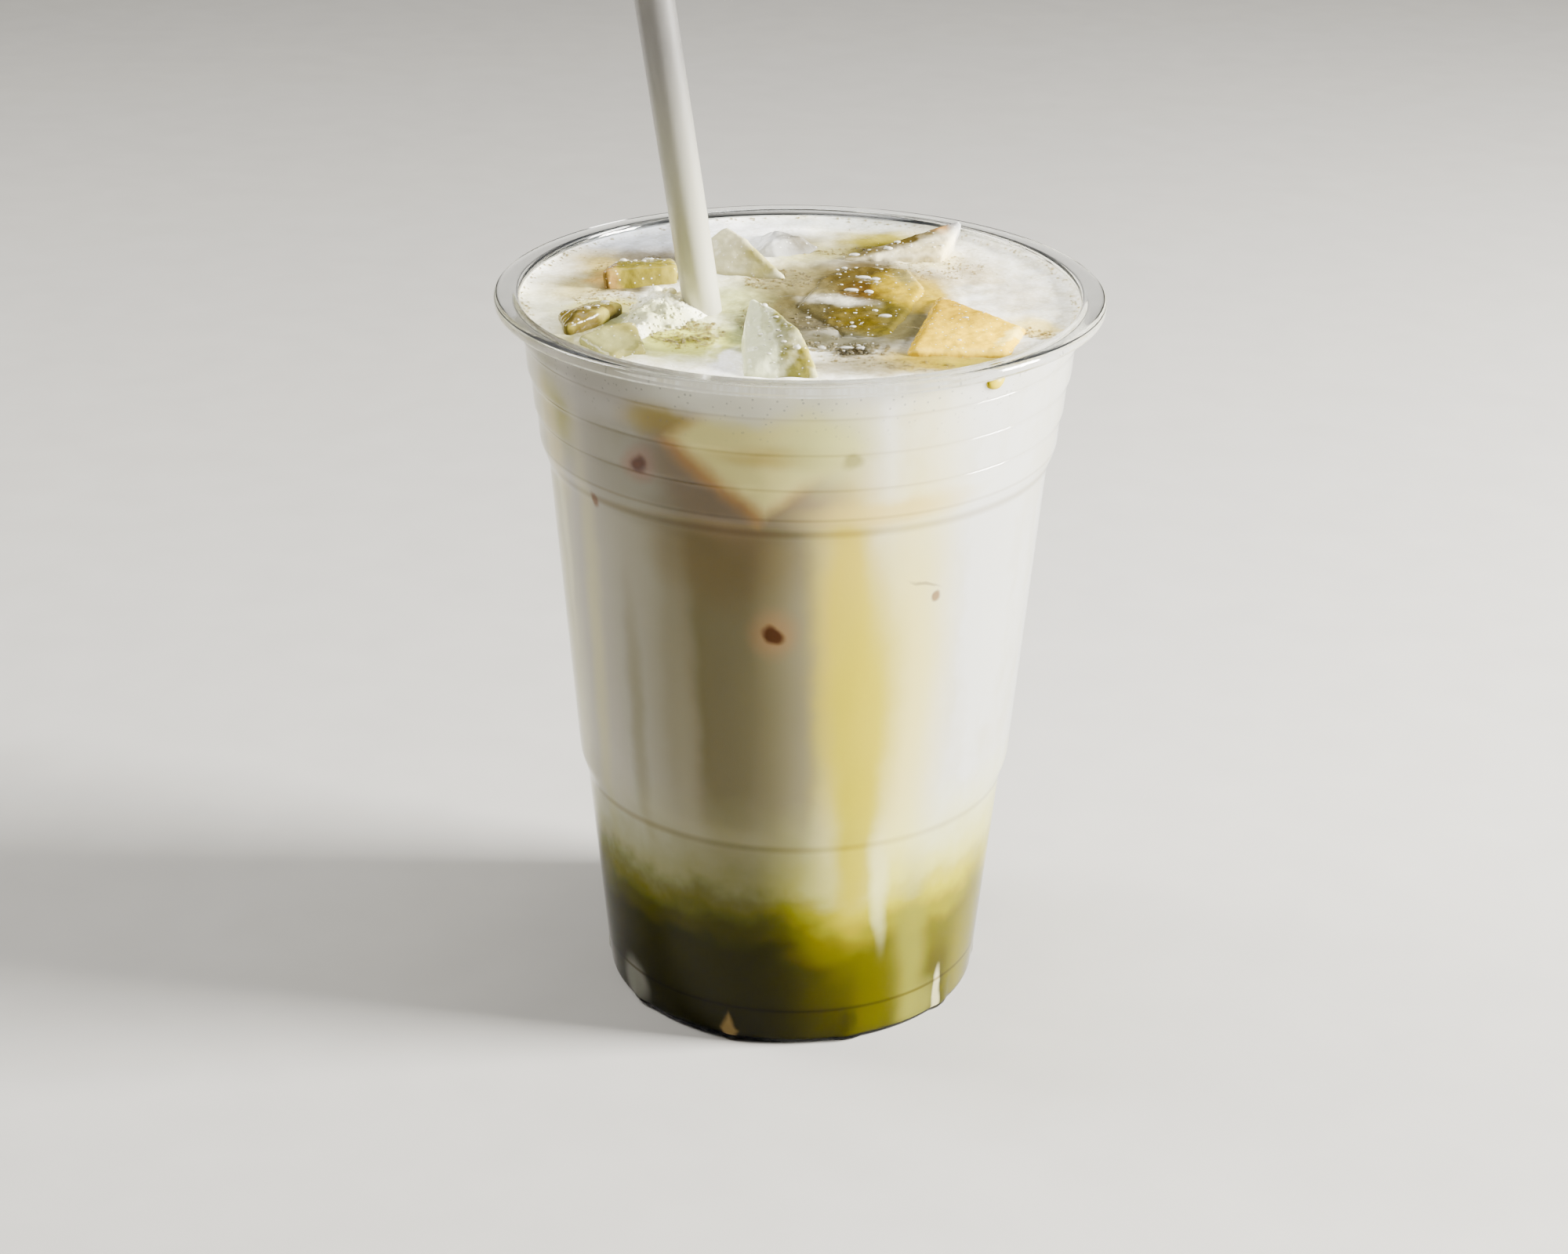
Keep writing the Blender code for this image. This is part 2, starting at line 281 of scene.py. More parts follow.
# Clear PET is glassy, and its pressed wall is faintly wavy, with the waves running upright.
# Both indexes are set below PET's own 1.57, and lowest under the upper step, though the drink
# stands higher than that: at full gloss the pale studio greys the dark layer behind the wall.
WAVE_LENGTH = 9.0
WAVE_DEPTH = 0.3
UPPER_INDEX = 1.38
LOWER_INDEX = 1.18
LOWER_GLOSS_BELOW = 97.0
for name, index in (("pressed_clear_pet", UPPER_INDEX), ("pressed_clear_pet_low", LOWER_INDEX)):
    pet = new_material(name, Base_Color=linear("#FBFDFC"), IOR=index)
    pet.node_tree.nodes["Principled BSDF"].inputs["Transmission Weight"].default_value = 1.0
    place = add(pet, "TexCoord", output=3)
    stretched = add(pet, "Mapping", {"Vector": place, "Scale": (1.0, 1.0, 0.25)})
    waviness = add(pet, "TexNoise", {
        "Vector": stretched, "Scale": 1 / (WAVE_LENGTH * MM), "Detail": 1.0,
    })
    bump = add(pet, "Bump", {"Height": waviness, "Strength": 0.12, "Distance": WAVE_DEPTH * MM})
    link(pet, "Normal", bump)
    rough = add(pet, "MapRange", {"Value": waviness, 1: 0.35, 2: 0.7, 3: 0.02, 4: 0.06})
    link(pet, "Roughness", rough)
    cup.data.materials.append(pet)
for face in cup.data.polygons:
    face.material_index = int(face.center.z < LOWER_GLOSS_BELOW * MM)
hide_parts("cup")


# Drink: cold milk poured over whisked matcha. The two meet in a soft green cloud, and
# threads of matcha rise through the milk along the wall. It fills the cup to the rim.
DRINK_LEVEL = 120.3
LAYER_EDGE = 22.0
INTO_WALL = 0.3
DRINK_RIM = 45.15
TOP_RINGS = 110
MENISCUS = 0.7
MENISCUS_REACH = 1.1
LUMP_HEIGHT = 0.35
LUMP_SIZE = 6.0


def surface_relief(point):
    """Height of the drink's surface over its level: it creeps up the wall and is lumpy."""
    radius = math.hypot(point.x, point.y)
    if point.z < DRINK_LEVEL - 1e-6:
        return 0.0
    lump = noise.fractal(Vector((point.x, point.y, 3.0)) / LUMP_SIZE, 0.9, 2.1, 3)
    fade = min(1.0, (DRINK_RIM - radius) / 1.5)
    return MENISCUS * math.exp(-(DRINK_RIM - radius) / MENISCUS_REACH) + LUMP_HEIGHT * lump * fade


def inside_wall(low, high):
    """The outline half-way through the cup's wall between two heights."""
    found = [(radius - INTO_WALL, height) for height, radius in WALL_OUTLINE if low < height < high]
    ends = []
    for height in (low, high):
        for (below, inner), (above, outer) in zip(WALL_OUTLINE, WALL_OUTLINE[1:]):
            if below <= height <= above:
                share = (height - below) / (above - below)
                ends.append((inner + (outer - inner) * share - INTO_WALL, height))
                break
    return [ends[0]] + found + [ends[1]]


matcha_outline = [(0, FLOOR_LIFT + INTO_WALL), (26.55, FLOOR_LIFT + INTO_WALL), (28.6, INTO_WALL)]
matcha_outline += [(31.0, INTO_WALL + 0.4)] + inside_wall(1.2, LAYER_EDGE)
matcha = turned("matcha_layer", eased(matcha_outline, CORNER) + [(0, LAYER_EDGE)], sharp=50)
milk_outline = inside_wall(LAYER_EDGE, 118.0) + [(DRINK_RIM, DRINK_LEVEL - 0.4)]
milk_outline = [(0, LAYER_EDGE)] + eased(milk_outline, CORNER)
milk_outline += [(DRINK_RIM * (1 - ring / TOP_RINGS), DRINK_LEVEL) for ring in range(TOP_RINGS + 1)]
milk = turned("milk_layer", milk_outline, surface_relief, 50)


def patch(material, place, centre, reach, turn, soft, diamond=False):
    """A soft-edged oval or diamond mask round a centre, in the units that place is in."""
    flat = add(material, "Mapping", {
        "Vector": place,
        "Location": (*centre, 0.0),
        "Rotation": (0.0, 0.0, math.radians(turn)),
        "Scale": (*reach, 1e6),
    }, vector_type="TEXTURE")
    if diamond:
        size = add(material, "VectorMath", {0: flat}, operation="ABSOLUTE")
        far = add(material, "VectorMath", {0: size, 1: (1.0, 1.0, 0.0)}, 1, operation="DOT_PRODUCT")
    else:
        far = add(material, "VectorMath", {0: flat}, 1, operation="LENGTH")
    return add(material, "MapRange", {
        "Value": far, 1: 1 + soft, 2: 1 - soft, 3: 0.0, 4: 1.0,
    }, interpolation_type="SMOOTHSTEP")


def painted(material, colour, place, patches):
    """The colour with each patch laid over it: centre, reach, turn, softness, colour, strength."""
    for centre, reach, turn, soft, tint, strength, *shape in patches:
        mask = patch(material, place, centre, reach, turn, soft, bool(shape))
        share = add(material, "Math", {0: mask, 1: strength}, operation="MULTIPLY")
        colour = add(material, "Mix", {0: share, 6: colour, 7: linear(tint)}, 2, data_type="RGBA")
    return colour


# patches on the surface and on the ice that lies level with it, in mm from the cup's axis:
# centre, reach, turn, softness, colour, strength
SURFACE_PATCHES = (
    # painted shade: the greyish-blue milk at the back left
    ((-27.0, 30.0), (17.0, 12.0), 30, 0.5, "#9498A0", 0.97),
    ((-38.0, -6.0), (8.0, 12.0), 8, 0.7, "#F4F2CC", 0.8),
    ((-32.5, 15.0), (5.5, 8.5), 20, 0.7, "#A8943E", 0.9),
    ((-35.0, 4.0), (6.5, 7.0), 0, 0.7, "#988624", 0.8),
    ((-30.5, -7.0), (7.0, 4.5), 20, 0.6, "#E6DE66", 0.85),
    ((-23.5, 20.5), (9.0, 5.0), 5, 0.6, "#5E543E", 0.85),
    ((-24.0, 11.5), (9.5, 5.2), 4, 0.4, "#554C17", 0.97),
    ((-31.5, 8.6), (3.0, 4.6), -20, 0.5, "#B4924C", 0.85),
    ((-28.5, 3.8), (4.6, 3.0), 0, 0.5, "#4E4428", 0.92),
    ((-30.0, -22.0), (8.5, 9.0), 40, 0.5, "#9C9858", 0.9),
    ((-23.0, -14.0), (7.0, 6.0), 0, 0.5, "#8E9252", 0.85),
    ((-16.5, -23.5), (11.0, 9.5), -5, 0.6, "#C8CC5E", 0.97),
    ((-19.0, -22.4), (3.2, 1.6), -10, 0.5, "#76741A", 0.95),
    ((-13.0, -20.5), (3.0, 1.4), 20, 0.5, "#98963C", 0.8),
    ((-8.0, -3.0), (9.0, 13.0), 0, 0.6, "#B0B46E", 0.92),
    ((-8.6, -18.5), (2.8, 9.5), -4, 0.6, "#484E30", 0.92),
    ((-8.5, 33.0), (9.5, 11.0), 0, 0.4, "#FBFCFC", 0.97),
    ((-0.5, 30.5), (4.0, 6.0), 10, 0.6, "#6E664A", 0.85),
    ((-2.5, 12.0), (7.5, 7.0), 20, 0.6, "#CCC28A", 0.9),
    ((2.0, 23.0), (8.0, 5.0), 10, 0.6, "#B4AE6E", 0.85),
    ((13.5, 31.5), (10.5, 8.0), 12, 0.7, "#8E820E", 0.97),
    ((14.6, 26.5), (7.2, 4.5), 18, 0.6, "#504605", 0.97),
    ((1.0, 8.0), (7.5, 12.5), -25, 0.5, "#6E6642", 0.95),
    ((0.5, -9.0), (8.5, 14.0), -12, 0.4, "#484024", 0.97),
    ((3.5, 3.5), (4.0, 5.0), 0, 0.6, "#857A50", 0.8),
    ((11.5, 10.0), (8.5, 13.0), -6, 0.4, "#453810", 0.97),
    ((10.0, 0.5), (3.5, 5.5), 10, 0.5, "#4A340C", 0.85),
    ((15.5, -12.5), (6.0, 14.0), -8, 0.4, "#4E4512", 0.96),
    ((8.8, -12.4), (4.4, 6.2), 12, 0.35, "#4D400A", 0.97),
    # a painted sheen on the centre ice
    ((6.2, -2.6), (4.6, 2.0), -18, 0.8, "#D6D2BC", 0.92),
    ((19.0, 3.6), (6.0, 9.5), 12, 0.4, "#B09400", 0.98),
    ((17.0, 10.0), (2.0, 4.0), 10, 0.6, "#5C6250", 0.6),
    ((26.5, 13.5), (7.5, 8.0), 0, 0.6, "#A8945C", 0.7),
    ((22.5, 20.5), (6.0, 4.0), 30, 0.6, "#D8CC96", 0.8),
    ((35.0, 0.5), (5.0, 9.0), 0, 0.8, "#AC9E80", 0.6),
    ((8.0, 42.0), (14.0, 3.0), -4, 0.7, "#B8BCB8", 0.8),
    ((19.4, -31.4), (12.6, 5.8), 12, 0.5, "#9A840C", 0.98),
    ((28.0, -31.6), (6.0, 2.6), 14, 0.6, "#A09226", 0.8),
    ((5.2, -23.6), (8.5, 5.0), -6, 0.5, "#4E4A32", 0.96),
    ((8.0, -34.0), (8.0, 4.6), 8, 0.6, "#837C62", 0.9),
    ((7.6, -27.4), (3.0, 2.4), 0, 0.3, "#201800", 0.98),
    ((37.0, -14.5), (3.6, 5.5), 20, 0.5, "#FFE88C", 0.95),
    # a painted highlight on the milk beside the front ice
    ((-10.8, -34.0), (2.4, 6.5), -10, 0.3, "#FFFFFF", 1.0),
)
# the same down the wall, in degrees from the front and mm up
WALL_PATCHES = (
    # painted shade: the milk on the left of the front is greyer
    ((-52.0, 78.0), (26.0, 62.0), 0, 0.7, "#B7B0A2", 0.95),
    ((-76.0, 74.0), (10.0, 60.0), 0, 0.7, "#C8C192", 0.9),
    # painted shade, deepening towards the olive band
    ((-34.0, 74.0), (13.0, 62.0), 0, 0.7, "#9C9580", 0.85),
    # the olive band left of the front: the matcha's own colour, deepened by painted shade
    ((-16.0, 68.0), (15.0, 54.0), 0, 0.6, "#786E4A", 0.97),
    ((-1.0, 66.0), (11.0, 50.0), 0, 0.5, "#887E5C", 0.93),
    ((-16.0, 92.0), (15.0, 9.0), 0, 0.6, "#7C6A44", 0.8),
    ((27.0, 64.0), (10.0, 44.0), 0, 0.7, "#F7E884", 0.9),
    ((12.0, 80.0), (7.5, 30.0), 3, 0.6, "#D2BC34", 0.97),
    ((16.0, 58.0), (9.0, 26.0), -3, 0.6, "#C9B814", 0.97),
    ((16.5, 41.0), (5.0, 15.0), 0, 0.5, "#BFB004", 0.9),
    ((-56.0, 70.0), (3.0, 34.0), -4, 0.8, "#D2CBA0", 0.7),
    ((-68.0, 92.0), (2.0, 18.0), 0, 0.8, "#E8E2C0", 0.7),
    ((-42.0, 58.0), (2.4, 18.0), 0, 0.8, "#7F7A60", 0.6),
    ((-27.0, 56.0), (3.0, 26.0), 0, 0.8, "#A39A80", 0.5),
    ((-61.0, 110.0), (6.5, 8.0), 0, 0.6, "#A39A34", 0.9),
    ((-66.0, 103.0), (5.0, 9.0), 0, 0.6, "#D8C98A", 0.7),
    ((-45.0, 114.5), (16.0, 3.5), 0, 0.7, "#CFC9BE", 0.8),
    ((-27.0, 112.8), (9.0, 2.6), 0, 0.7, "#BFA748", 0.9),
    # painted shadow under the lower-left edge of the ice corner
    ((-20.0, 102.5), (13.0, 6.2), -34, 0.5, "#8A7454", 0.8),
    ((1.0, 101.5), (9.0, 4.0), 0, 0.6, "#A8946C", 0.8),
    ((-8.4, 109.4), (20.0, 11.8), 0, 0.2, "#DFA040", 0.6, "diamond"),
    ((-6.6, 110.6), (18.8, 11.4), 0, 0.2, "#FFF5A4", 1.0, "diamond"),
    ((-3.0, 108.6), (12.0, 1.8), 0, 0.7, "#DCC464", 0.75),
    ((-12.0, 117.5), (17.0, 3.2), 0, 0.6, "#F8F5E4", 0.95),
    ((6.0, 110.5), (9.0, 6.5), 0, 0.6, "#D6D48E", 0.8),
    ((10.8, 107.6), (2.1, 1.3), 10, 0.45, "#A0985A", 0.8),
    ((20.0, 99.0), (16.0, 2.0), 2, 0.7, "#E3CC72", 0.8),
    ((-34.3, 104.6), (4.2, 2.4), 24, 0.6, "#A98270", 0.7),
    ((-34.3, 104.8), (2.0, 1.1), 24, 0.5, "#5C2E10", 0.95),
    ((-50.3, 95.2), (1.2, 1.5), 0, 0.5, "#7A5038", 0.8),
    ((-5.3, 78.2), (4.4, 3.4), 0, 0.7, "#A8845A", 0.8),
    ((-5.3, 78.2), (2.3, 1.35), -20, 0.4, "#4A2608", 0.97),
    ((33.7, 82.3), (1.1, 0.8), 20, 0.4, "#7A5A40", 0.9),
    ((30.3, 85.2), (3.8, 0.3), -17, 0.5, "#A3946E", 0.8),
    ((118.0, 70.0), (8.0, 40.0), 0, 0.6, "#D9CF84", 0.7),
    ((146.0, 58.0), (6.0, 34.0), 3, 0.6, "#C8BC4C", 0.7),
    ((-128.0, 72.0), (14.0, 46.0), 0, 0.7, "#BDB48C", 0.7),
    ((-152.0, 60.0), (5.0, 28.0), -3, 0.6, "#B8AC50", 0.6),
    ((-98.0, 108.0), (9.0, 6.0), 0, 0.6, "#B9AA58", 0.7),
    ((104.0, 110.0), (14.0, 5.0), 0, 0.6, "#E2D69C", 0.7),
)
# the same in the green layer
LAYER_PATCHES = (
    ((16.8, 38.0), (5.6, 15.0), 0, 0.5, "#B8A900", 0.9),
    ((24.0, 34.0), (2.4, 12.0), 8, 0.7, "#FFFCB0", 0.7),
    ((9.0, 18.5), (9.0, 2.2), 0, 0.7, "#5A5200", 0.7),
    ((-14.0, 14.0), (16.0, 6.0), 0, 0.7, "#242100", 0.6),
    ((37.0, 15.0), (5.5, 15.0), 6, 0.7, "#7E7A28", 0.8),
    ((43.0, 3.5), (7.0, 4.5), 0, 0.5, "#7E7A2C", 0.75),
    ((27.0, 9.0), (7.0, 9.0), 0, 0.6, "#443F00", 0.7),
    ((66.0, 12.0), (10.0, 14.0), 0, 0.6, "#625C00", 0.9),
    # marks at the skirt's wedges round the foot: painted highlights where pale and painted shade where
    # dark, for the light the wedges bend
    ((-56.0, 4.0), (6.0, 4.6), 0, 0.4, "#77756A", 0.8),
    ((-19.0, 2.4), (2.6, 3.0), 0, 0.4, "#8E7444", 0.85, "diamond"),
    ((18.0, 4.6), (2.6, 1.6), 0, 0.5, "#221E00", 0.8),
    ((51.0, 4.2), (1.5, 4.6), 12, 0.4, "#E6DCA4", 0.9),
    ((92.0, 3.8), (4.0, 4.2), 0, 0.5, "#A29E62", 0.7),
    ((127.0, 3.0), (2.4, 3.0), 0, 0.5, "#6A6220", 0.8),
    ((163.0, 3.4), (3.4, 3.6), 0, 0.5, "#7C7848", 0.7),
    ((-91.0, 3.6), (3.4, 4.0), 0, 0.5, "#74724E", 0.7),
    ((-127.0, 3.0), (2.6, 3.0), 0, 0.5, "#5C5618", 0.8),
)
# the green layer's colours from low to high, in mm up, on the shaded left and the lit right
LEFT_LAYER = (
    (0.0, "#141200"), (4.0, "#181500"), (10.0, "#1C1900"), (18.0, "#242100"), (22.0, "#3A3700"),
    (27.0, "#5E5B14"), (32.0, "#7F7C42"), (42.0, "#A09C6E"),
)
RIGHT_LAYER = (
    (0.0, "#292500"), (4.0, "#322E00"), (10.0, "#393400"), (18.0, "#4C4700"), (22.0, "#7E7600"),
    (27.0, "#C0B600"), (32.0, "#E2DC2C"), (42.0, "#FFFD84"),
)
# height, half thickness and depth of the lines of painted shade that the wall's steps and ribs make
STEP_LINES = (
    (6.7, 0.45, 0.75), (38.6, 1.0, 0.34), (95.6, 1.1, 0.42), (98.2, 0.4, 0.3), (103.2, 0.4, 0.24),
    (109.2, 0.4, 0.2), (115.2, 0.4, 0.2),
)
# sizes in mm of the clouds and of how far they drift, behind the wall and on the surface
WALL_CLOUD = (7.0, 9.0)
SURFACE_CLOUD = (3.4, 4.2)
# spacing in mm of the bubbles that cling to the wall and of those in the surface's froth
CLINGING_BUBBLE_SPACING = 1.15
FROTH_BUBBLE_SPACING = 0.75


def ramp(material, value, stops):
    """A colour that changes with a value, from (value, colour) stops."""
    colour = linear(stops[0][1])
    for (start, _), (end, tint) in zip(stops, stops[1:]):
        share = add(material, "MapRange", {
            "Value": value, 1: start, 2: end, 3: 0.0, 4: 1.0,
        }, interpolation_type="SMOOTHSTEP")
        colour = add(material, "Mix", {0: share, 6: colour, 7: linear(tint)}, 2, data_type="RGBA")
    return colour


def swirled(material, size, reach):
    """The place in mm, a cloudy noise of a size, and the place moved by it up to a reach."""
    place = add(material, "TexCoord", output=3)
    mm = add(material, "VectorMath", {0: place, "Scale": 1 / MM}, operation="SCALE")
    cloud = add(material, "TexNoise", {"Vector": mm, "Scale": 1 / size, "Detail": 4.0}, 1)
    drift = add(material, "VectorMath", {0: cloud, 1: (0.5, 0.5, 0.5)}, operation="SUBTRACT")
    drift = add(material, "VectorMath", {0: drift, "Scale": reach}, operation="SCALE")
    return mm, cloud, drift, add(material, "VectorMath", {0: mm, 1: drift}, operation="ADD")


def wall_material(name, **sockets):
    """Milk clouded by matcha as it shows through the wall: white above, green below, with painted shade
    to the left, and painted highlights and shade where the wall's steps, ribs and skirt bend the light.
    """
    material = new_material(name, **sockets)
    mm, _, drift, moved = swirled(material, *WALL_CLOUD)
    across, along, up = add(material, "SeparateXYZ", {0: mm}).node.outputs
    back = add(material, "Math", {0: along, 1: -1.0}, operation="MULTIPLY")
    angle = add(material, "Math", {0: across, 1: back}, operation="ARCTAN2")
    degrees = add(material, "Math", {0: angle, 1: 180 / math.pi}, operation="MULTIPLY")
    unrolled = add(material, "CombineXYZ", {0: degrees, 1: up})
    swirl = add(material, "VectorMath", {0: drift, "Scale": 0.35}, operation="SCALE")
    unrolled = add(material, "VectorMath", {0: unrolled, 1: swirl}, operation="ADD")

    # faint upright threads of matcha all round the wall
    threads = add(material, "Mapping", {"Vector": moved, "Scale": (0.1, 0.1, 0.014)})
    threads = add(material, "TexNoise", {"Vector": threads, "Scale": 1.0, "Detail": 3.0})
    threads = add(material, "MapRange", {"Value": threads, 1: 0.45, 2: 0.75, 3: 0.0, 4: 0.6})
    side = add(material, "Mix", {
        0: threads, 6: linear("#FFFDF6"), 7: linear("#DDD3A4"),
    }, 2, data_type="RGBA")
    side = painted(material, side, unrolled, WALL_PATCHES)

    # the green cloud: cream first, then yellow-green, then deep green, all darker to the left as painted
    # shade
    level = add(material, "SeparateXYZ", {0: moved}, 2)
    right = add(material, "MapRange", {
        "Value": across, 1: -8.0, 2: 19.0, 3: 0.0, 4: 1.0,
    }, interpolation_type="SMOOTHSTEP")
    green = add(material, "Mix", {
        0: right,
        6: ramp(material, level, LEFT_LAYER),
        7: ramp(material, level, RIGHT_LAYER),
    }, 2, data_type="RGBA")
    green = painted(material, green, unrolled, LAYER_PATCHES)
    whisked = add(material, "MapRange", {"Value": level, 1: 48.0, 2: 26.0, 3: 0.0, 4: 1.0})
    side = add(material, "Mix", {0: whisked, 6: side, 7: green}, 2, data_type="RGBA")

    # the wall's steps and ribs bend the light, so a thin line of painted shade lies on the drink behind
    # each
    for height, thick, depth in STEP_LINES:
        off = add(material, "Math", {0: up, 1: height}, operation="SUBTRACT")
        off = add(material, "Math", {0: off}, operation="ABSOLUTE")
        line = add(material, "MapRange", {"Value": off, 1: thick, 2: thick * 0.2, 3: 0.0, 4: depth})
        side = add(material, "Mix", {
            0: line, 6: side, 7: linear("#8C7A3C"),
        }, 2, data_type="RGBA", blend_type="MULTIPLY")

    # air bubbles cling to the wall under the rim and look like grey specks
    specks = add(material, "TexVoronoi", {"Vector": mm, "Scale": 1 / CLINGING_BUBBLE_SPACING})
    specks = add(material, "MapRange", {"Value": specks, 1: 0.2, 2: 0.13, 3: 0.0, 4: 1.0})
    high = add(material, "MapRange", {"Value": level, 1: 110.0, 2: 118.0, 3: 0.0, 4: 0.55})
    specks = add(material, "Math", {0: specks, 1: high}, operation="MULTIPLY")
    side = add(material, "Mix", {0: specks, 6: side, 7: linear("#8B8A7C")}, 2, data_type="RGBA")
    link(material, "Base Color", side)
    return material


def surface_material():
    """The drink's surface: milk with streaks of matcha and stains round the ice, with painted shade, a
    painted sheen and a painted highlight among its patches.
    """
    material = new_material("cold_milk_surface", Roughness=0.2, Specular_IOR_Level=0.12)
    mm, cloud, _, moved = swirled(material, *SURFACE_CLOUD)
    streaks = add(material, "MapRange", {"Value": cloud, 1: 0.4, 2: 0.7, 3: 0.0, 4: 0.6})
    milk_colour = add(material, "Mix", {
        0: streaks, 6: linear("#FFFEF4"), 7: linear("#E6DDBC"),
    }, 2, data_type="RGBA")
    surface = painted(material, milk_colour, moved, SURFACE_PATCHES)
    # fine froth: bubbles under 1 mm, each with a darker ring, thicker in some parts than in others
    froth = add(material, "TexVoronoi", {"Vector": mm, "Scale": 1 / FROTH_BUBBLE_SPACING})
    froth = add(material, "MapRange", {"Value": froth, 1: 0.25, 2: 0.6, 3: 0.0, 4: 1.0})
    thick = add(material, "MapRange", {"Value": cloud, 1: 0.35, 2: 0.62, 3: 0.12, 4: 0.5})
    froth = add(material, "Math", {0: froth, 1: thick}, operation="MULTIPLY")
    link(material, "Base Color", add(material, "Mix", {
        0: froth, 6: surface, 7: linear("#CFC9B2"),
    }, 2, data_type="RGBA", blend_type="MULTIPLY"))
    return material


# where the drink touches the wall there is no air between them, so it has no gloss of its own
matcha.data.materials.append(wall_material("whisked_matcha", Roughness=0.5, Specular_IOR_Level=0.0))
milk.data.materials.append(wall_material("cold_milk_behind_wall", Roughness=0.5, Specular_IOR_Level=0.0))
milk.data.materials.append(surface_material())
for face in milk.data.polygons:
    face.material_index = int(face.center.z > (DRINK_LEVEL - 0.5) * MM)
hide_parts("matcha")
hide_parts("milk")


# Ice: clear pieces, cloudy and stained by the tea, half melted, so their edges are soft and
# their wet tops are dimpled. Each is a fine copy of its solid, with the skin worked over.
ICE_CELL = 0.35
ICE_SMOOTHING = 4
DIMPLE = 0.16
DIMPLE_SIZE = 2.6
RIPPLE_SIZE = 1.4
RIPPLE_DEPTH = 0.35
TRAPPED_BUBBLE_SPACING = 1.1


def melted(node):
    """A fine, softened and dimpled copy of an ice solid, which takes the solid's place."""
    piece = bpy.data.objects.new(node + "_solid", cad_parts[node].data.copy())
    bpy.context.scene.collection.objects.link(piece)
    cells = piece.modifiers.new("cells", "REMESH")
    cells.mode = "VOXEL"
    cells.voxel_size = ICE_CELL * MM
    soften = piece.modifiers.new("soften", "SMOOTH")
    soften.factor = 0.5
    soften.iterations = ICE_SMOOTHING
    fine = bpy.data.meshes.new_from_object(piece.evaluated_get(bpy.context.evaluated_depsgraph_get()))
    bpy.data.objects.remove(piece)
    fine.name = "melted_" + node
    fine.materials.clear()
    normals = [vertex.normal.copy() for vertex in fine.vertices]
    for vertex, normal in zip(fine.vertices, normals):
        wave = noise.fractal(vertex.co / (DIMPLE_SIZE * MM), 0.8, 2.2, 3)
        vertex.co += normal * (wave - 0.3) * DIMPLE * MM
    ice = finished("melted_" + node, fine)
    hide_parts(node)
    return ice


def ice_material(name, colour, clear, patches, haze, hazy):
    """Wet ice, seen into by the share clear, with a haze of tiny trapped bubbles in it."""
    material = new_material(name, IOR=1.31, Roughness=0.12, Specular_IOR_Level=0.2)
    material.node_tree.nodes["Principled BSDF"].inputs["Transmission Weight"].default_value = clear
    mm, cloud, _, moved = swirled(material, *SURFACE_CLOUD)
    paint = painted(material, linear(colour), moved, patches)
    veil = add(material, "MapRange", {"Value": cloud, 1: 0.48, 2: 0.72, 3: 0.0, 4: hazy})
    paint = add(material, "Mix", {0: veil, 6: paint, 7: linear(haze)}, 2, data_type="RGBA")
    beads = add(material, "TexVoronoi", {"Vector": mm, "Scale": 1 / TRAPPED_BUBBLE_SPACING})
    beads = add(material, "MapRange", {"Value": beads, 1: 0.16, 2: 0.1, 3: 0.0, 4: 0.5})
    paint = add(material, "Mix", {0: beads, 6: paint, 7: linear("#FFFDF2")}, 2, data_type="RGBA")
    link(material, "Base Color", paint)
    ripple = add(material, "TexNoise", {"Vector": mm, "Scale": 1 / RIPPLE_SIZE, "Detail": 2.0})
    link(material, "Normal", add(material, "Bump", {
        "Height": ripple, "Strength": 0.35, "Distance": RIPPLE_DEPTH * MM,
    }))
    return material


